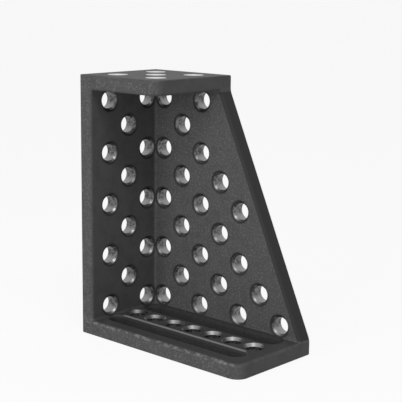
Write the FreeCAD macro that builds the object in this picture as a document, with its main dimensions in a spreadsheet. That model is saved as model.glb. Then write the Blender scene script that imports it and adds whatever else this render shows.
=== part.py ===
import FreeCAD, Part
import math
import os
import Sketcher

# Clamping square for a modular welding and fixture table: one hollow iron casting.
# A base plate, a shorter top plate and two walls at right angles enclose a hollow that
# is open to the front and to the right. The long wall's free edge slopes from the head
# of the top plate down to the toe of the base plate.
# Frame: +Z up, base on z = 0, origin on the axis of the base's middle bore.
# The short wall's outer face looks to -X and the long wall's outer face looks to +Y.

SIZES = {
    # the casting
    "length": 200.0,
    "depth": 100.0,
    "height": 250.0,
    "top_length": 100.0,
    "wall_thickness": 14.0,
    "plate_thickness": 14.0,
    # upright part of the long wall's free edge, at the toe and at the head
    "land": 14.5,
    # easing where the sloped edge meets each upright part
    "slope_easing": 15.0,
    "root_radius": 2.5,
    "rim_radius": 3.0,
    "corner_radius": 12.0,
    "edge_break": 0.8,
    # the bore grid
    "bore_diameter": 16.0,
    # depth of the 45 degree countersinks at a wall's outer face and at its inner face,
    # and the least metal between an inner countersink and the next wall
    "outer_countersink": 1.6,
    "inner_countersink": 2.7,
    "mouth_clearance": 0.3,
    "first_row": 25.0,
    "row_step": 25.0,
    "least_rim_metal": 8.0,
}

doc = FreeCAD.newDocument("AnglePlate")
sheet = doc.addObject("Spreadsheet::Sheet", "Sizes")
for row, (alias, value) in enumerate(SIZES.items(), start=1):
    sheet.set(f"A{row}", alias)
    sheet.set(f"B{row}", str(value))
    sheet.setAlias(f"B{row}", alias)
doc.recompute()

length = SIZES["length"]
depth = SIZES["depth"]
height = SIZES["height"]
top_length = SIZES["top_length"]
wall = SIZES["wall_thickness"]
plate = SIZES["plate_thickness"]

# The same places as expressions on the sheet, for the features to follow.
LEFT = "-Sizes.length / 2"
FRONT = "-Sizes.depth / 2"
# How far a cutting profile runs past the casting.
PAST = 10.0

body = doc.addObject("PartDesign::Body", "angle_plate")
body.Label = "angle_plate"
body.Placement = FreeCAD.Placement()


def check_states():
    """A recompute can leave an object failed without raising."""
    for item in doc.Objects:
        if "Invalid" in item.State or "Error" in item.State:
            raise RuntimeError(f"{item.Name} failed: {item.getStatusString()}")


def origin_plane(role):
    for plane in body.Origin.OriginFeatures:
        if plane.Role == role:
            return plane
    raise ValueError(role)


def new_sketch(name, role, along_x, along_y, along_normal):
    """A sketch on an origin plane, shifted by three expressions in the sketch's own axes."""
    sketch = body.newObject("Sketcher::SketchObject", name)
    sketch.AttachmentSupport = (origin_plane(role), [""])
    sketch.MapMode = "FlatFace"
    sketch.setExpression(".AttachmentOffset.Base.x", along_x)
    sketch.setExpression(".AttachmentOffset.Base.y", along_y)
    sketch.setExpression(".AttachmentOffset.Base.z", along_normal)
    doc.recompute()
    return sketch


def dimension(sketch, kind, *place, value, expression):
    """One driving dimension of a sketch, bound to the sheet."""
    index = sketch.addConstraint(Sketcher.Constraint(kind, *place, value))
    sketch.setExpression(f"Constraints[{index}]", expression)


def place_point(sketch, geometry, end, x, y):
    """Dimension a point from the sketch's origin: x and y are (value, expression) pairs."""
    dimension(sketch, "DistanceX", -1, 1, geometry, end, value=x[0], expression=x[1])
    dimension(sketch, "DistanceY", -1, 1, geometry, end, value=y[0], expression=y[1])


def rectangle(sketch, low, high):
    """A rectangle between two corners, each an x and a y (value, expression) pair."""
    corners = [
        (low[0][0], low[1][0]),
        (high[0][0], low[1][0]),
        (high[0][0], high[1][0]),
        (low[0][0], high[1][0]),
    ]
    sides = []
    for start, end in zip(corners, corners[1:] + corners[:1]):
        line = Part.LineSegment(FreeCAD.Vector(*start, 0), FreeCAD.Vector(*end, 0))
        sides.append(sketch.addGeometry(line))
    for side, following in zip(sides, sides[1:] + sides[:1]):
        sketch.addConstraint(Sketcher.Constraint("Coincident", side, 2, following, 1))
    for number, side in enumerate(sides):
        direction = "Vertical" if number % 2 else "Horizontal"
        sketch.addConstraint(Sketcher.Constraint(direction, side))
    place_point(sketch, sides[0], 1, *low)
    place_point(sketch, sides[2], 1, *high)


def finish_feature(feature):
    doc.recompute()
    check_states()
    return feature


def pad(sketch, expression, name):
    feature = body.newObject("PartDesign::Pad", name)
    feature.Profile = sketch
    feature.setExpression("Length", expression)
    return finish_feature(feature)


def pocket(sketch, expression, name, reverse=False, taper=0.0, midplane=False):
    """Cut a profile. reverse cuts along the sketch's normal instead of against it."""
    before = body.Shape.Volume
    feature = body.newObject("PartDesign::Pocket", name)
    feature.Profile = sketch
    feature.setExpression("Length", expression)
    feature.Reversed = reverse
    feature.Midplane = midplane
    feature.TaperAngle = taper
    finish_feature(feature)
    if body.Shape.Volume > before - 1.0:
        raise RuntimeError(f"{name} cuts nothing")
    return feature


def dress(kind, name, edges, size, expression):
    """A fillet or chamfer on edges of the body's last feature."""
    base = body.Tip
    feature = body.newObject(f"PartDesign::{kind}", name)
    feature.Base = (base, edges)
    feature.setExpression(size, expression)
    return finish_feature(feature)


def middle(edge):
    return edge.valueAt((edge.FirstParameter + edge.LastParameter) / 2)


def edges_where(test):
    """Names of the body's edges whose middle point passes a test."""
    return [f"Edge{n}" for n, edge in enumerate(body.Shape.Edges, start=1) if test(middle(edge))]


def near(value, *targets):
    return any(abs(value - target) < 1e-4 for target in targets)


# Block and hollow
block_outline = new_sketch("block_outline", "XY_Plane", LEFT, FRONT, "0")
rectangle(
    block_outline,
    ((0.0, "0"), (0.0, "0")),
    ((length, "Sizes.length"), (depth, "Sizes.depth")),
)
pad(block_outline, "Sizes.height", "block")

hollow_outline = new_sketch(
    "hollow_outline", "XY_Plane", LEFT, FRONT, "Sizes.plate_thickness"
)
rectangle(
    hollow_outline,
    ((wall, "Sizes.wall_thickness"), (-PAST, f"-{PAST}")),
    (
        (length + PAST, f"Sizes.length + {PAST}"),
        (depth - wall, "Sizes.depth - Sizes.wall_thickness"),
    ),
)
pocket(hollow_outline, "Sizes.height - 2 * Sizes.plate_thickness", "hollow", reverse=True)

# The hollow's five inside corners, before the sloped cut trims their ends.
inner_left = wall - length / 2
inner_back = depth / 2 - wall
front = -depth / 2


def is_root(point):
    if near(point.y, front) or near(point.x, length / 2):
        return False
    on_left = near(point.x, inner_left)
    on_back = near(point.y, inner_back)
    on_plate = near(point.z, plate, height - plate)
    return on_left + on_back + on_plate == 2


dress("Fillet", "root_fillets", edges_where(is_root), "Radius", "Sizes.root_radius")

# Sloped free edge: it joins the upright land under the head to the one over the toe.
head_x = top_length
head_z = height - SIZES["land"]
toe_x = length
toe_z = SIZES["land"]
slope_angle = math.atan2(toe_x - head_x, head_z - toe_z)
easing = SIZES["slope_easing"]
tangent = easing * math.tan(slope_angle / 2)
run_x = math.sin(slope_angle) * tangent
run_z = math.cos(slope_angle) * tangent

slope_outline = new_sketch("slope_outline", "XZ_Plane", LEFT, "0", "0")
upward = FreeCAD.Vector(0, 0, 1)
corner_points = [
    (head_x, height + PAST),
    (head_x, head_z + tangent),
    (head_x + run_x, head_z - run_z),
    (toe_x - run_x, toe_z + run_z),
    (toe_x, toe_z - tangent),
    (toe_x, toe_z / 2),
    (toe_x + PAST, toe_z / 2),
    (toe_x + PAST, height + PAST),
]
above, head_1, head_2, toe_1, toe_2, below, right_low, right_high = [
    FreeCAD.Vector(x, z, 0) for x, z in corner_points
]
head_circle = Part.Circle(head_1 + FreeCAD.Vector(easing, 0, 0), upward, easing)
toe_circle = Part.Circle(toe_2 - FreeCAD.Vector(easing, 0, 0), upward, easing)
head_land, head_arc, slope, toe_arc, toe_land, bottom_side, right_side, top_side = [
    slope_outline.addGeometry(curve)
    for curve in (
        Part.LineSegment(above, head_1),
        Part.ArcOfCircle(head_circle, math.pi, math.pi + slope_angle),
        Part.LineSegment(head_2, toe_1),
        Part.ArcOfCircle(toe_circle, 0, slope_angle),
        Part.LineSegment(toe_2, below),
        Part.LineSegment(below, right_low),
        Part.LineSegment(right_low, right_high),
        Part.LineSegment(right_high, above),
    )
]
head_point = slope_outline.addGeometry(Part.Point(FreeCAD.Vector(head_x, head_z, 0)), True)
toe_point = slope_outline.addGeometry(Part.Point(FreeCAD.Vector(toe_x, toe_z, 0)), True)
for constraint in (
    ("Tangent", head_land, 2, head_arc, 1),
    ("Tangent", head_arc, 2, slope, 1),
    ("Tangent", slope, 2, toe_arc, 2),
    ("Tangent", toe_arc, 1, toe_land, 1),
    ("Coincident", toe_land, 2, bottom_side, 1),
    ("Coincident", bottom_side, 2, right_side, 1),
    ("Coincident", right_side, 2, top_side, 1),
    ("Coincident", top_side, 2, head_land, 1),
    ("Vertical", head_land),
    ("Vertical", toe_land),
    ("Horizontal", bottom_side),
    ("Vertical", right_side),
    ("Horizontal", top_side),
    ("Equal", head_arc, toe_arc),
    ("PointOnObject", head_point, 1, slope),
    ("PointOnObject", toe_point, 1, slope),
    ("Vertical", head_land, 1, head_point, 1),
    ("Vertical", toe_land, 2, toe_point, 1),
):
    slope_outline.addConstraint(Sketcher.Constraint(*constraint))
dimension(slope_outline, "Radius", head_arc, value=easing, expression="Sizes.slope_easing")
place_point(
    slope_outline,
    head_point,
    1,
    (head_x, "Sizes.top_length"),
    (head_z, "Sizes.height - Sizes.land"),
)
place_point(slope_outline, toe_point, 1, (toe_x, "Sizes.length"), (toe_z, "Sizes.land"))
place_point(
    slope_outline,
    right_side,
    1,
    (toe_x + PAST, f"Sizes.length + {PAST}"),
    (toe_z / 2, "Sizes.land / 2"),
)
dimension(
    slope_outline,
    "DistanceY",
    -1,
    1,
    head_land,
    1,
    value=height + PAST,
    expression=f"Sizes.height + {PAST}",
)
pocket(slope_outline, f"Sizes.depth + {2 * PAST}", "slope_cut", midplane=True)

# Rounded free corners of the base plate and of the top plate
base_right = length / 2
top_right = top_length - length / 2


def is_base_corner(point):
    return near(point.x, base_right) and near(point.y, front) and point.z < plate


def is_top_corner(point):
    return near(point.x, top_right) and near(point.y, front) and point.z > height - plate


for name, test in (("base_corner", is_base_corner), ("top_corner", is_top_corner)):
    dress("Fillet", name, edges_where(test), "Radius", "Sizes.corner_radius")


# Rounded rim all round the hollow's mouth
def faces_the_hollow(face):
    """True for the hollow's own faces: its flat sides and the root fillets between them."""
    surface = face.Surface
    if surface.TypeId != "Part::GeomPlane":
        return near(getattr(surface, "Radius", 0.0), SIZES["root_radius"])
    normal = face.normalAt(0, 0)
    at = face.CenterOfMass
    return (
        (normal.x > 0.99 and near(at.x, inner_left))
        or (normal.y < -0.99 and near(at.y, inner_back))
        or (normal.z > 0.99 and near(at.z, plate))
        or (normal.z < -0.99 and near(at.z, height - plate))
    )


def rim_edges():
    """Edges between one of the hollow's faces and a face outside it."""
    shape = body.Shape
    names = []
    for number, edge in enumerate(shape.Edges, start=1):
        beside = shape.ancestorsOfType(edge, Part.Face)
        if sum(faces_the_hollow(face) for face in beside) == 1:
            names.append(f"Edge{number}")
    return names


dress("Fillet", "mouth_rim", rim_edges(), "Radius", "Sizes.rim_radius")


# Edge break round the four machined outer faces
def is_machined_edge(point):
    return (
        near(point.x, -length / 2)
        or near(point.y, depth / 2)
        or near(point.z, 0.0)
        or near(point.z, height)
    )


dress("Chamfer", "edge_breaks", edges_where(is_machined_edge), "Size", "Sizes.edge_break")

# Bore grid. Columns and rows are counted from the casting's left, front and bottom edges,
# and every second place is left out, so the bores stand diagonally.
first = SIZES["first_row"]
step = SIZES["row_step"]
bore_radius = SIZES["bore_diameter"] / 2


def rows_within(extent):
    """How many rows fit between two edges, the last as far from its edge as the first."""
    return int((extent - 2 * first) / step + 1e-6) + 1


def diagonal_grid(columns, rows):
    return [(c, r) for c in range(columns) for r in range(rows) if (c + r) % 2 == 0]


def row_value(number):
    return first + number * step


def row_place(number):
    """A row's distance from its edge, as a (value, expression) pair."""
    return (row_value(number), f"Sizes.first_row + {number} * Sizes.row_step")


def clears_the_slope(column, row):
    """Whether a bore leaves enough metal to the sloped edge."""
    across = (toe_x - row_value(column)) * math.cos(slope_angle)
    along = (toe_z - row_value(row)) * math.sin(slope_angle)
    return across + along >= bore_radius + SIZES["least_rim_metal"]


def draw_bores(sketch, places, diameter):
    """Equal circles at the grid places. diameter is a (value, expression) pair."""
    circles = []
    for column, row in places:
        centre = FreeCAD.Vector(row_value(column), row_value(row), 0)
        circle = sketch.addGeometry(Part.Circle(centre, upward, diameter[0] / 2))
        place_point(sketch, circle, 3, row_place(column), row_place(row))
        circles.append(circle)
    dimension(sketch, "Diameter", circles[0], value=diameter[0], expression=diameter[1])
    for circle in circles[1:]:
        sketch.addConstraint(Sketcher.Constraint("Equal", circles[0], circle))


def draw_slots(sketch, rows, last_column, width):
    """Straight slots from the first column to the last. width is a (value, expression) pair."""
    radius = width[0] / 2
    for row in rows:
        start = FreeCAD.Vector(first, row_value(row), 0)
        end = FreeCAD.Vector(row_value(last_column), row_value(row), 0)
        side = FreeCAD.Vector(0, radius, 0)
        quarter = math.pi / 2
        near_arc = sketch.addGeometry(
            Part.ArcOfCircle(Part.Circle(start, upward, radius), quarter, 3 * quarter)
        )
        far_arc = sketch.addGeometry(
            Part.ArcOfCircle(Part.Circle(end, upward, radius), -quarter, quarter)
        )
        low_side = sketch.addGeometry(Part.LineSegment(start - side, end - side))
        high_side = sketch.addGeometry(Part.LineSegment(end + side, start + side))
        for constraint in (
            ("Tangent", near_arc, 2, low_side, 1),
            ("Tangent", low_side, 2, far_arc, 1),
            ("Tangent", far_arc, 2, high_side, 1),
            ("Tangent", high_side, 2, near_arc, 1),
            ("Equal", near_arc, far_arc),
            ("Horizontal", low_side),
        ):
            sketch.addConstraint(Sketcher.Constraint(*constraint))
        place_point(sketch, near_arc, 3, row_place(0), row_place(row))
        dimension(
            sketch,
            "DistanceX",
            -1,
            1,
            far_arc,
            3,
            value=row_value(last_column),
            expression=row_place(last_column)[1],
        )
        dimension(sketch, "Radius", near_arc, value=radius, expression=f"({width[1]}) / 2")


# A 45 degree countersink narrows from its mouth to the bore in its own depth.
COUNTERSINK_TAPER = -45.0
BORE = (SIZES["bore_diameter"], "Sizes.bore_diameter")
OUTER_DEPTH = (SIZES["outer_countersink"], "Sizes.outer_countersink")
# A thick wall or a wide bore leaves less room, and the inner countersinks get shallower.
INNER_DEPTH = (
    min(
        SIZES["inner_countersink"],
        first - bore_radius - max(wall, plate) - SIZES["mouth_clearance"],
    ),
    "min(Sizes.inner_countersink; Sizes.first_row - Sizes.bore_diameter / 2"
    " - max(Sizes.wall_thickness; Sizes.plate_thickness) - Sizes.mouth_clearance)",
)


def mouth(countersink):
    """The width of a countersink's mouth. Both are (value, expression) pairs."""
    return (
        SIZES["bore_diameter"] + 2 * countersink[0],
        f"Sizes.bore_diameter + 2 * {countersink[1]}",
    )


def cut_openings(name, role, across, up, outer_face, inward, thickness, draw):
    """Bores through one wall with a countersink at both faces.

    across and up shift the sketches in their plane, and outer_face places them along its
    normal. inward is "+" where that normal points into the casting and "-" elsewhere.
    """
    into = inward == "+"
    inner_face = f"{outer_face} {inward} {thickness}"
    above_roots = f"{inner_face} {inward} Sizes.root_radius"

    def cut(suffix, place, width, cut_length, reverse, taper=0.0):
        sketch = new_sketch(f"{name}_{suffix}_outline", role, across, up, place)
        draw(sketch, width)
        pocket(sketch, cut_length, f"{name}_{suffix}", reverse=reverse, taper=taper)

    cut("bores", outer_face, BORE, f"{thickness} + Sizes.root_radius", into)
    cut(
        "outer_countersinks",
        outer_face,
        mouth(OUTER_DEPTH),
        OUTER_DEPTH[1],
        into,
        COUNTERSINK_TAPER,
    )
    # The cutter of the inner countersinks also takes the root fillets on its way in.
    cut("cutter_way", above_roots, mouth(INNER_DEPTH), "Sizes.root_radius", not into)
    cut(
        "inner_countersinks",
        inner_face,
        mouth(INNER_DEPTH),
        INNER_DEPTH[1],
        not into,
        COUNTERSINK_TAPER,
    )


short_wall_grid = diagonal_grid(rows_within(depth), rows_within(height))
long_wall_grid = [
    place
    for place in diagonal_grid(rows_within(length), rows_within(height))
    if clears_the_slope(*place)
]
top_grid = diagonal_grid(rows_within(top_length), rows_within(depth))
base_columns = rows_within(length)
base_rows = rows_within(depth)


def draw_short_wall(sketch, size):
    draw_bores(sketch, short_wall_grid, size)


def draw_long_wall(sketch, size):
    draw_bores(sketch, long_wall_grid, size)


def draw_top(sketch, size):
    draw_bores(sketch, top_grid, size)


def draw_base(sketch, size):
    """Slots on the outer rows and a full row of bores between each pair of them."""
    draw_slots(sketch, range(0, base_rows, 2), base_columns - 1, size)
    between = [(c, r) for r in range(1, base_rows, 2) for c in range(base_columns)]
    draw_bores(sketch, between, size)


# The short wall's sketch axes run along +Y and +Z, and its normal along +X.
cut_openings(
    "short_wall",
    "YZ_Plane",
    FRONT,
    "0",
    LEFT,
    "+",
    "Sizes.wall_thickness",
    draw_short_wall,
)
# The long wall's sketch axes run along +X and +Z, and its normal along -Y.
cut_openings(
    "long_wall",
    "XZ_Plane",
    LEFT,
    "0",
    FRONT,
    "+",
    "Sizes.wall_thickness",
    draw_long_wall,
)
cut_openings(
    "top",
    "XY_Plane",
    LEFT,
    FRONT,
    "Sizes.height",
    "-",
    "Sizes.plate_thickness",
    draw_top,
)
cut_openings(
    "base",
    "XY_Plane",
    LEFT,
    FRONT,
    "0",
    "+",
    "Sizes.plate_thickness",
    draw_base,
)

doc.recompute()
check_states()
if body.Shape.isNull() or not body.Shape.isValid() or len(body.Shape.Solids) != 1:
    raise RuntimeError("the casting is not one valid solid")
os.makedirs("parts", exist_ok=True)
body.Shape.exportStep("parts/angle_plate.step")
box = body.Shape.BoundBox
print("box", box.XMin, box.XMax, box.YMin, box.YMax, box.ZMin, box.ZMax)
print("volume", body.Shape.Volume, "faces", len(body.Shape.Faces))
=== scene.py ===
import bpy
import math
from mathutils import Matrix, Vector


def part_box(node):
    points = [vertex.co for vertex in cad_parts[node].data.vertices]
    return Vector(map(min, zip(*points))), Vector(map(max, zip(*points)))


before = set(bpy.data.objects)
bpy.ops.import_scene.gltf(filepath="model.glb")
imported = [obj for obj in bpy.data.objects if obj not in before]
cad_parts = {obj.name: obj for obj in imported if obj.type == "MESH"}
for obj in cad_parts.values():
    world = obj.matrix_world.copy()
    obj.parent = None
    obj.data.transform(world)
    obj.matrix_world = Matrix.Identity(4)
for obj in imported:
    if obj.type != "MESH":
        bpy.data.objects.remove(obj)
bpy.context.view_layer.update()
scene = bpy.context.scene
scene.view_settings.view_transform = "Standard"
mm = 0.001
print("frame loaded")

# The camera stands off the open corner of the square, a little above its middle.
cameraSettings = {
    "place": Vector((683.585, -737.269, 332.017)) * mm,
    "yaw": math.radians(42.471),
    "pitch": math.radians(10.982),  # looking down
    "roll": math.radians(0.586),
    "lens": 99.44,
    "sensor": 36.0,
    "farClip": 100.0,  # beyond the far edge of the floor
}


def makeCamera(s):
    data = bpy.data.cameras.new("camera")
    data.lens = s["lens"]
    data.sensor_width = s["sensor"]
    data.clip_end = s["farClip"]
    camera = bpy.data.objects.new("camera", data)
    scene.collection.objects.link(camera)
    level = math.cos(s["pitch"])
    forward = Vector((-math.sin(s["yaw"]) * level, math.cos(s["yaw"]) * level, -math.sin(s["pitch"])))
    right = Vector((math.cos(s["yaw"]), math.sin(s["yaw"]), 0.0))
    up = right.cross(forward)
    tiltedRight = right * math.cos(s["roll"]) + up * math.sin(s["roll"])
    tiltedUp = up * math.cos(s["roll"]) - right * math.sin(s["roll"])
    axes = Matrix((tiltedRight, tiltedUp, -forward)).transposed().to_4x4()
    camera.matrix_world = Matrix.Translation(s["place"]) @ axes
    scene.camera = camera


makeCamera(cameraSettings)
print("camera placed")


# The linear colour of an sRGB hex code, with alpha 1.
def linearColour(code):
    channels = [int(code[i:i + 2], 16) / 255 for i in (1, 3, 5)]
    linear = [c / 12.92 if c <= 0.04045 else ((c + 0.055) / 1.055) ** 2.4 for c in channels]
    return (*linear, 1.0)


# Adds a shader node with its settings; an input is a value, or a socket to link.
def addNode(tree, kind, inputs=None, **settings):
    node = tree.nodes.new(kind)
    for name, value in settings.items():
        setattr(node, name, value)
    for key, value in (inputs or {}).items():
        socket = node.inputs[key]
        if isinstance(value, bpy.types.NodeSocket):
            tree.links.new(value, socket)
        else:
            socket.default_value = value
    return node


# A new material with an empty tree and its output node.
def newMaterial(name):
    material = bpy.data.materials.new(name)
    material.use_nodes = True
    tree = material.node_tree
    tree.nodes.clear()
    output = addNode(tree, "ShaderNodeOutputMaterial")
    return material, tree, output


# Where the casting's features are, in millimetres: its box comes from the frame, and the rest
# are its own sizes. The grid's bores stand every 50 mm, with one more at each middle between.
(left, front, bottom), (right, back, top) = (Vector(corner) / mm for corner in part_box("angle_plate"))
wall = 14.0  # thickness of the walls and plates
land = 14.5  # upright stretch at each end of the sloped edge
rim = 3.0
topLength = 100.0
rowStep = 25.0
boreEdge = 12.0  # nearer an edge than this no bore is cut
mouthDepth = 6.0  # of a wall's layer that holds the inner mouths
rootRise = 1.5  # of the painted shade up the foot of the long wall
skirt = 0.4  # by which a box reaches past a face
beyondReach = 1000.0  # further than any part of the casting
topEnd = left + topLength
slope = {
    "toe": (right, 0.0, bottom + land),
    "head": (topEnd, 0.0, top - land),
    "clearOfBores": 15.5,  # least distance from a bore's axis
    "low": (topEnd - rim * 2, back - wall - skirt, bottom + land + skirt),
    "high": (right + skirt, back + skirt, top - land - skirt),
}
slots = {
    "halfLength": 75.0,
    "row": 25.0,  # from the middle of the base
    "mouth": 10.6,  # half the width of a slot over its countersink
    "backLow": (left + boreEdge, 10.0, bottom),  # corner of the box round the back slot
}
baseTop = {
    "low": (left + wall, front + rim, bottom + wall - skirt),
    "high": (right - rim, back - wall, bottom + wall + skirt),
}
# Each wall with its bores' direction (0 is X, 1 is Y, 2 is Z) and the box in which they stand.
# The mouths' box holds only the layer of the wall next to the hollow.
boredWalls = {
    "short": {
        "axis": 0,
        "low": (left - skirt, front + boreEdge, bottom + boreEdge),
        "high": (left + wall + skirt, back - boreEdge, top - boreEdge),
        "mouthsLow": (left + wall - mouthDepth, front + boreEdge, bottom + boreEdge),
        "mouthsHigh": (left + wall + skirt, back - boreEdge, top - boreEdge),
    },
    "long": {
        "axis": 1,
        "low": (left + boreEdge, back - wall - skirt, bottom + boreEdge),
        "high": (right - boreEdge, back + skirt, top - boreEdge),
        "mouthsLow": (left + boreEdge, back - wall - skirt, bottom + boreEdge),
        "mouthsHigh": (right - boreEdge, back - wall + mouthDepth, top - boreEdge),
    },
    "top": {
        "axis": 2,
        "low": (left + boreEdge, front + boreEdge, top - wall - skirt),
        "high": (topEnd - boreEdge, back - boreEdge, top + skirt),
    },
    "base": {
        "axis": 2,
        "low": (left + boreEdge, front + boreEdge, bottom - skirt),
        "high": (right - boreEdge, back - boreEdge, bottom + wall + rootRise),
    },
}

# Grey iron with a blackened casting skin: matt and dark, with fine painted glints of the grain on the
# faces that look to the front. The bores are cut after blackening, so they show dull bare metal with a
# painted highlight along their upward-facing lower half, and painted shade stands as a dark line round
# their inner mouths. The front rim of the base carries a painted highlight in specks, and its right
# rim faintly.
ironSettings = {
    "skin": linearColour("#4b4b4b"),
    "mottled": linearColour("#3d3d3d"),
    # painted shade on the base's top, where the walls and top plate hold off the light
    "baseTopShade": linearColour("#404040"),
    # painted shade on the sloped end face of the long wall and its rounded rim
    "slopeShade": linearColour("#2f2f2f"),
    # painted glints of the grain, lighter specks on the faces turned to the front lamp
    "paintedGlint": linearColour("#8f8f8f"),
    # painted highlight along the base's rounded rims and the front slot's chamfer
    "rimHighlight": linearColour("#9a9a9a"),
    # painted shade: dark lines round the inner bore mouths, in the slots and at the long wall's foot
    "paintedShade": linearColour("#1e1e1e"),
    "bare": linearColour("#757575"),
    "bareDark": linearColour("#484848"),
    # painted highlight on the upward-facing lower half of each bore
    "lowerHighlight": linearColour("#8c8c8c"),
    # painted glint on the bore mouths in the top face
    "topMouthGlint": linearColour("#d0d0d0"),
    "skinRoughness": 0.6,
    "skinSpecular": 0.15,
    "bareRoughness": 0.34,
    # Each pattern's size in millimetres, its noise values from full to none, and its strength.
    # The real grain of about 0.5 mm is drawn coarser, so that it shows.
    "patterns": {
        # the grain: its noise raises the bump and places the painted glints
        "grainAndGlint": {"size": 1.8, "detail": 2.0, "reach": (0.7, 0.48), "strength": 0.24},
        "mottle": {"size": 12.0, "detail": 3.0, "reach": (0.35, 0.6), "strength": 0.4},
        # the specks in which the painted highlight lies on the rims
        "highlightSpecks": {"size": 5.0, "detail": 3.0, "reach": (0.62, 0.46), "strength": 0.4},
        "cutMarks": {"size": 2.6, "detail": 2.0, "reach": (0.62, 0.4), "strength": 1.0},
    },
    "patternRoughness": 0.6,
    "grainDepth": 0.15 * mm,
    "grainStrength": 0.6,
    # distances in millimetres at which a mark is full and gone, from a bore's or slot's axis
    "boreReach": (9.2, 9.9),
    "ringReach": (10.7, 12.0),
    "baseBoreReach": (10.8, 11.2),
    "slotReach": (9.4, 10.0),
    "backSlotReach": (10.8, 12.5),
    # and from the line of an edge
    "slopeReach": (2.8, 3.8),
    "frontRimReach": (1.0, 3.4),
    "rightRimReach": (0.8, 2.6),
    "slotRimReach": (0.9, 1.5),
    "rightRimStrength": 0.3,
    "slotRimStrength": 0.45,
    "paintedShadeStrength": 0.68,
    "cutFacing": 0.9,  # a face turned more than this along the bores is a wall's own face
    "lowerHalf": (0.75, 0.1),  # upward part of the normal, from full to none
    "topDepth": 3.0,  # of the painted glint on the mouths on top
}


# The share in which every mask holds: their product.
def allOf(tree, *masks):
    result = masks[0]
    for mask in masks[1:]:
        result = addNode(tree, "ShaderNodeMath", {0: result, 1: mask}, operation="MULTIPLY").outputs[0]
    return result


# The share in which at least one mask holds: the highest of them.
def anyOf(tree, *masks):
    result = masks[0]
    for mask in masks[1:]:
        result = addNode(tree, "ShaderNodeMath", {0: result, 1: mask}, operation="MAXIMUM").outputs[0]
    return result


# 1 at the first value of the reach, 0 at the second, and smooth between.
def fade(tree, value, reach):
    node = addNode(
        tree,
        "ShaderNodeMapRange",
        {"Value": value, "From Min": reach[0], "From Max": reach[1], "To Min": 1.0, "To Max": 0.0},
        interpolation_type="SMOOTHSTEP",
    )
    return node.outputs[0]


# 1 inside a box and 0 outside: no axis is further from its middle than half its side.
def insideBox(tree, place, low, high):
    middle = [(a + b) / 2 for a, b in zip(low, high)]
    half = [(b - a) / 2 for a, b in zip(low, high)]
    away = addNode(tree, "ShaderNodeVectorMath", {0: place, 1: middle}, operation="SUBTRACT")
    size = addNode(tree, "ShaderNodeVectorMath", {0: away.outputs[0]}, operation="ABSOLUTE")
    past = addNode(tree, "ShaderNodeVectorMath", {0: size.outputs[0], 1: half}, operation="SUBTRACT")
    parts = addNode(tree, "ShaderNodeSeparateXYZ", {0: past.outputs[0]})
    furthest = anyOf(tree, *parts.outputs)
    return addNode(tree, "ShaderNodeMath", {0: furthest, 1: 0.0}, operation="LESS_THAN").outputs[0]


# Distance to a line: the length of the part of the way to its point that lies across it.
def lineDistance(tree, place, point, across):
    away = addNode(tree, "ShaderNodeVectorMath", {0: place, 1: point}, operation="SUBTRACT")
    flat = addNode(tree, "ShaderNodeVectorMath", {0: away.outputs[0], 1: across}, operation="MULTIPLY")
    length = addNode(tree, "ShaderNodeVectorMath", {0: flat.outputs[0]}, operation="LENGTH")
    return length.outputs["Value"]


# Distance to the sloped edge, positive inside the wall: the way to its toe along the normal.
def slopeDistance(tree, place):
    angle = math.atan2(slope["toe"][0] - slope["head"][0], slope["head"][2] - slope["toe"][2])
    outward = (math.cos(angle), 0.0, math.sin(angle))
    away = addNode(tree, "ShaderNodeVectorMath", {0: slope["toe"], 1: place}, operation="SUBTRACT")
    reached = addNode(
        tree, "ShaderNodeVectorMath", {0: away.outputs[0], 1: outward}, operation="DOT_PRODUCT"
    )
    return reached.outputs["Value"]


# Distance to the nearest bore of the grid: the place is wrapped into one cell of the grid, once
# about the corners and once about the middles. Bores too near the sloped edge are left out.
def gridDistance(tree, place, axis, clearOfSlope):
    across = [0.0 if n == axis else 1.0 for n in range(3)]
    distances = []
    for shift in (0.0, rowStep):
        moved = addNode(tree, "ShaderNodeVectorMath", {0: place, 1: [shift] * 3}, operation="SUBTRACT")
        wrapped = addNode(
            tree,
            "ShaderNodeVectorMath",
            {0: moved.outputs[0], 1: [rowStep] * 3, 2: [-rowStep] * 3},
            operation="WRAP",
        )
        flat = addNode(
            tree, "ShaderNodeVectorMath", {0: wrapped.outputs[0], 1: across}, operation="MULTIPLY"
        )
        length = addNode(tree, "ShaderNodeVectorMath", {0: flat.outputs[0]}, operation="LENGTH")
        distance = length.outputs["Value"]
        if clearOfSlope:
            centre = addNode(
                tree, "ShaderNodeVectorMath", {0: place, 1: flat.outputs[0]}, operation="SUBTRACT"
            )
            tooNear = addNode(
                tree,
                "ShaderNodeMath",
                {0: slopeDistance(tree, centre.outputs[0]), 1: slope["clearOfBores"]},
                operation="LESS_THAN",
            )
            distance = addNode(
                tree,
                "ShaderNodeMath",
                {0: tooNear.outputs[0], 1: beyondReach, 2: distance},
                operation="MULTIPLY_ADD",
            ).outputs[0]
        distances.append(distance)
    nearest = addNode(tree, "ShaderNodeMath", dict(enumerate(distances)), operation="MINIMUM")
    return nearest.outputs[0]


# Distance to the nearest bore of the base's middle row, one every 25 mm along X.
def rowDistance(tree, place):
    half = (rowStep / 2, beyondReach, beyondReach)  # wraps X alone
    wrapped = addNode(
        tree,
        "ShaderNodeVectorMath",
        {0: place, 1: half, 2: [-h for h in half]},
        operation="WRAP",
    )
    return lineDistance(tree, wrapped.outputs[0], (0.0, 0.0, 0.0), (1.0, 1.0, 0.0))


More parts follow.
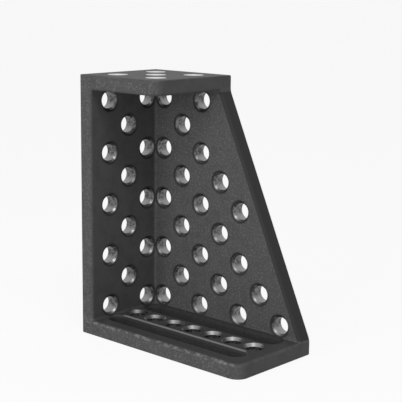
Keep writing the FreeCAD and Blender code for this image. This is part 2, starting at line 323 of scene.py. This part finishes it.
# Distance to the middle line of the nearest slot, rounded about its two ends.
def slotDistance(tree, place):
    mirrored = addNode(tree, "ShaderNodeVectorMath", {0: place}, operation="ABSOLUTE")
    end = (slots["halfLength"], slots["row"], 0.0)
    past = addNode(
        tree, "ShaderNodeVectorMath", {0: mirrored.outputs[0], 1: end}, operation="SUBTRACT"
    )
    beyond = addNode(
        tree,
        "ShaderNodeVectorMath",
        {0: past.outputs[0], 1: (0.0, -beyondReach, -beyondReach)},  # only X is held at 0 or more
        operation="MAXIMUM",
    )
    return lineDistance(tree, beyond.outputs[0], (0.0, 0.0, 0.0), (1.0, 1.0, 0.0))


# Two masks: the bare metal of the bores, and the painted shade as dark lines round mouths and in the
# slots.
def boreMasks(tree, s, place, normals):
    bare, shadeMasks = [], []
    for name, box in boredWalls.items():
        inside = insideBox(tree, place, box["low"], box["high"])
        facing = addNode(
            tree, "ShaderNodeMath", {0: normals.outputs[box["axis"]]}, operation="ABSOLUTE"
        )
        turned = addNode(
            tree, "ShaderNodeMath", {0: facing.outputs[0], 1: s["cutFacing"]}, operation="LESS_THAN"
        )
        cut = allOf(tree, inside, turned.outputs[0])
        if name == "base":
            bare.append(allOf(tree, cut, fade(tree, rowDistance(tree, place), s["baseBoreReach"])))
            slot = slotDistance(tree, place)
            # painted shade in the slots, and all over the back slot up the foot of the long wall
            shadeMasks.append(allOf(tree, cut, fade(tree, slot, s["slotReach"])))
            atBack = insideBox(tree, place, slots["backLow"], box["high"])
            shadeMasks.append(allOf(tree, atBack, fade(tree, slot, s["backSlotReach"])))
            continue
        radius = gridDistance(tree, place, box["axis"], clearOfSlope=name == "long")
        bare.append(allOf(tree, cut, fade(tree, radius, s["boreReach"])))
        if "mouthsLow" in box:
            nearHollow = insideBox(tree, place, box["mouthsLow"], box["mouthsHigh"])
            # painted shade as a dark line round each inner mouth
            shadeMasks.append(allOf(tree, nearHollow, fade(tree, radius, s["ringReach"])))
    return anyOf(tree, *bare), anyOf(tree, *shadeMasks)


# The share of painted highlight: specks on the front and right rims of the base, and a line on its
# front slot.
def rimHighlightMask(tree, s, place, specks):
    onFront = fade(tree, lineDistance(tree, place, (0, front, wall), (0, 1, 1)), s["frontRimReach"])
    onRight = fade(tree, lineDistance(tree, place, (right, 0, wall), (1, 0, 1)), s["rightRimReach"])
    rims = anyOf(tree, onFront, allOf(tree, onRight, s["rightRimStrength"]))
    slotRim = slots["mouth"] - slots["row"]
    onSlot = fade(tree, lineDistance(tree, place, (0, slotRim, wall), (0, 1, 1)), s["slotRimReach"])
    ends = slots["halfLength"] + rim
    alongSlot = insideBox(
        tree, place, (-ends, slotRim - rim, wall - rim), (ends, slotRim + rim, wall + rim)
    )
    return anyOf(tree, allOf(tree, rims, specks), allOf(tree, onSlot, alongSlot, s["slotRimStrength"]))


# The colour with each layer's colour laid over it in the share of its mask, in order. The colour
# sockets of a Mix node are its inputs 6 and 7 and its output 2.
def layered(tree, colour, layers):
    for mask, over in layers:
        colour = addNode(
            tree, "ShaderNodeMix", {"Factor": mask, 6: colour, 7: over}, data_type="RGBA"
        ).outputs[2]
    return colour


def ironMaterial(s):
    material, tree, output = newMaterial("cast_iron_blackened")
    coordinates = addNode(tree, "ShaderNodeTexCoord")
    place = addNode(
        tree,
        "ShaderNodeVectorMath",
        {0: coordinates.outputs["Object"], "Scale": 1 / mm},
        operation="SCALE",
    ).outputs[0]
    normals = addNode(tree, "ShaderNodeSeparateXYZ", {0: coordinates.outputs["Normal"]})
    noises, marks = {}, {}
    for name, pattern in s["patterns"].items():
        noises[name] = addNode(
            tree,
            "ShaderNodeTexNoise",
            {
                "Vector": place,
                "Scale": 1 / pattern["size"],
                "Detail": pattern["detail"],
                "Roughness": s["patternRoughness"],
            },
        ).outputs[0]
        marks[name] = allOf(tree, fade(tree, noises[name], pattern["reach"]), pattern["strength"])
    bareMask, paintedShadeMask = boreMasks(tree, s, place, normals)

    # the casting skin
    frontFacing = addNode(tree, "ShaderNodeMath", {0: normals.outputs[1]}, operation="ABSOLUTE")
    nearSlope = fade(tree, slopeDistance(tree, place), s["slopeReach"])
    skin = layered(tree, s["skin"], [
        (marks["mottle"], s["mottled"]),
        # painted shade on the base's top between the walls
        (insideBox(tree, place, baseTop["low"], baseTop["high"]), s["baseTopShade"]),
        # painted glints: the grain's speckle lightened only on faces turned along Y, toward the front
        # lamp
        (allOf(tree, marks["grainAndGlint"], frontFacing.outputs[0]), s["paintedGlint"]),
        # painted shade on the sloped end face and its rim
        (allOf(tree, insideBox(tree, place, slope["low"], slope["high"]), nearSlope), s["slopeShade"]),
        # painted highlight on the base's rims in specks, and a line on the front slot's chamfer
        (rimHighlightMask(tree, s, place, marks["highlightSpecks"]), s["rimHighlight"]),
        # painted shade round the mouths and in the slots
        (allOf(tree, paintedShadeMask, s["paintedShadeStrength"]), s["paintedShade"]),
    ])
    grain = addNode(
        tree,
        "ShaderNodeBump",
        {"Strength": s["grainStrength"], "Distance": s["grainDepth"], "Height": noises["grainAndGlint"]},
    )
    skinShader = addNode(
        tree,
        "ShaderNodeBsdfPrincipled",
        {
            "Base Color": skin,
            "Roughness": s["skinRoughness"],
            "Specular IOR Level": s["skinSpecular"],
            "Normal": grain.outputs[0],
        },
    )

    # the bare metal of the bores
    onTop = insideBox(tree, place, (left, front, top - s["topDepth"]), (topEnd, back, top + skirt))
    metal = layered(tree, s["bare"], [
        (marks["cutMarks"], s["bareDark"]),
        # painted highlight where the bore's surface faces upward
        (fade(tree, normals.outputs[2], s["lowerHalf"]), s["lowerHighlight"]),
        # painted glint on the mouths in the top face
        (onTop, s["topMouthGlint"]),
    ])
    bareShader = addNode(
        tree,
        "ShaderNodeBsdfPrincipled",
        {"Base Color": metal, "Metallic": 1.0, "Roughness": s["bareRoughness"]},
    )

    both = addNode(
        tree,
        "ShaderNodeMixShader",
        {"Fac": bareMask, 1: skinShader.outputs[0], 2: bareShader.outputs[0]},
    )
    tree.links.new(both.outputs[0], output.inputs["Surface"])
    return material


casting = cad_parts["angle_plate"]
casting.data.materials.clear()
casting.data.materials.append(ironMaterial(ironSettings))
print("materials made")

# A plain white floor. What the camera and mirror-like surfaces see of it is mostly its own
# white, and the rest takes the light and the object's shadow.
floorSettings = {
    "half": 40.0,
    "colour": linearColour("#f6f6f6"),
    "roughness": 0.9,
    "white": linearColour("#ffffff"),
    "ownWhite": 0.9,
}


# 1 for rays from the camera, a reflection or a transmission.
def seenDirectly(tree):
    path = addNode(tree, "ShaderNodeLightPath")
    names = ("Is Camera Ray", "Is Glossy Ray", "Is Transmission Ray")
    return anyOf(tree, *[path.outputs[name] for name in names])


def makeFloor(s):
    mesh = bpy.data.meshes.new("floor")
    h = s["half"]
    mesh.from_pydata([(-h, -h, 0), (h, -h, 0), (h, h, 0), (-h, h, 0)], [], [(0, 1, 2, 3)])
    floor = bpy.data.objects.new("floor", mesh)
    scene.collection.objects.link(floor)
    material, tree, output = newMaterial("floor_white")
    plain = addNode(
        tree, "ShaderNodeBsdfPrincipled", {"Base Color": s["colour"], "Roughness": s["roughness"]}
    )
    bright = addNode(tree, "ShaderNodeEmission", {"Color": s["white"], "Strength": 1.0})
    share = allOf(tree, seenDirectly(tree), s["ownWhite"])
    mix = addNode(
        tree, "ShaderNodeMixShader", {"Fac": share, 1: plain.outputs[0], 2: bright.outputs[0]}
    )
    tree.links.new(mix.outputs[0], output.inputs["Surface"])
    mesh.materials.append(material)


makeFloor(floorSettings)
print("floor laid")

# A wide soft lamp in front of the square, a smaller one high on its open side, and a fill from
# all round.
lampSettings = {
    "front": {"place": (0.1, -1.9, 0.45), "size": 1.3, "power": 22.0},
    "high": {"place": (0.75, -0.6, 1.35), "size": 0.5, "power": 9.0},
}
lampAim = (0.0, 0.0, 0.12)
worldSettings = {"colour": linearColour("#ffffff"), "fill": 0.3}


def makeLamp(name, s):
    data = bpy.data.lights.new(name, "AREA")
    data.shape = "SQUARE"
    data.size = s["size"]
    data.energy = s["power"]
    lamp = bpy.data.objects.new(name, data)
    lamp.location = s["place"]
    aim = Vector(lampAim) - Vector(s["place"])
    lamp.rotation_euler = aim.to_track_quat("-Z", "Y").to_euler()
    scene.collection.objects.link(lamp)


# A soft fill for the light, and plain white for what is seen of the world.
def makeWorld(s):
    world = bpy.data.worlds.new("studio")
    scene.world = world
    world.use_nodes = True
    tree = world.node_tree
    tree.nodes.clear()
    output = addNode(tree, "ShaderNodeOutputWorld")
    strength = anyOf(tree, seenDirectly(tree), s["fill"])
    background = addNode(tree, "ShaderNodeBackground", {"Color": s["colour"], "Strength": strength})
    tree.links.new(background.outputs[0], output.inputs["Surface"])


for name, settings in lampSettings.items():
    makeLamp(name, settings)
makeWorld(worldSettings)
print("lamps lit")
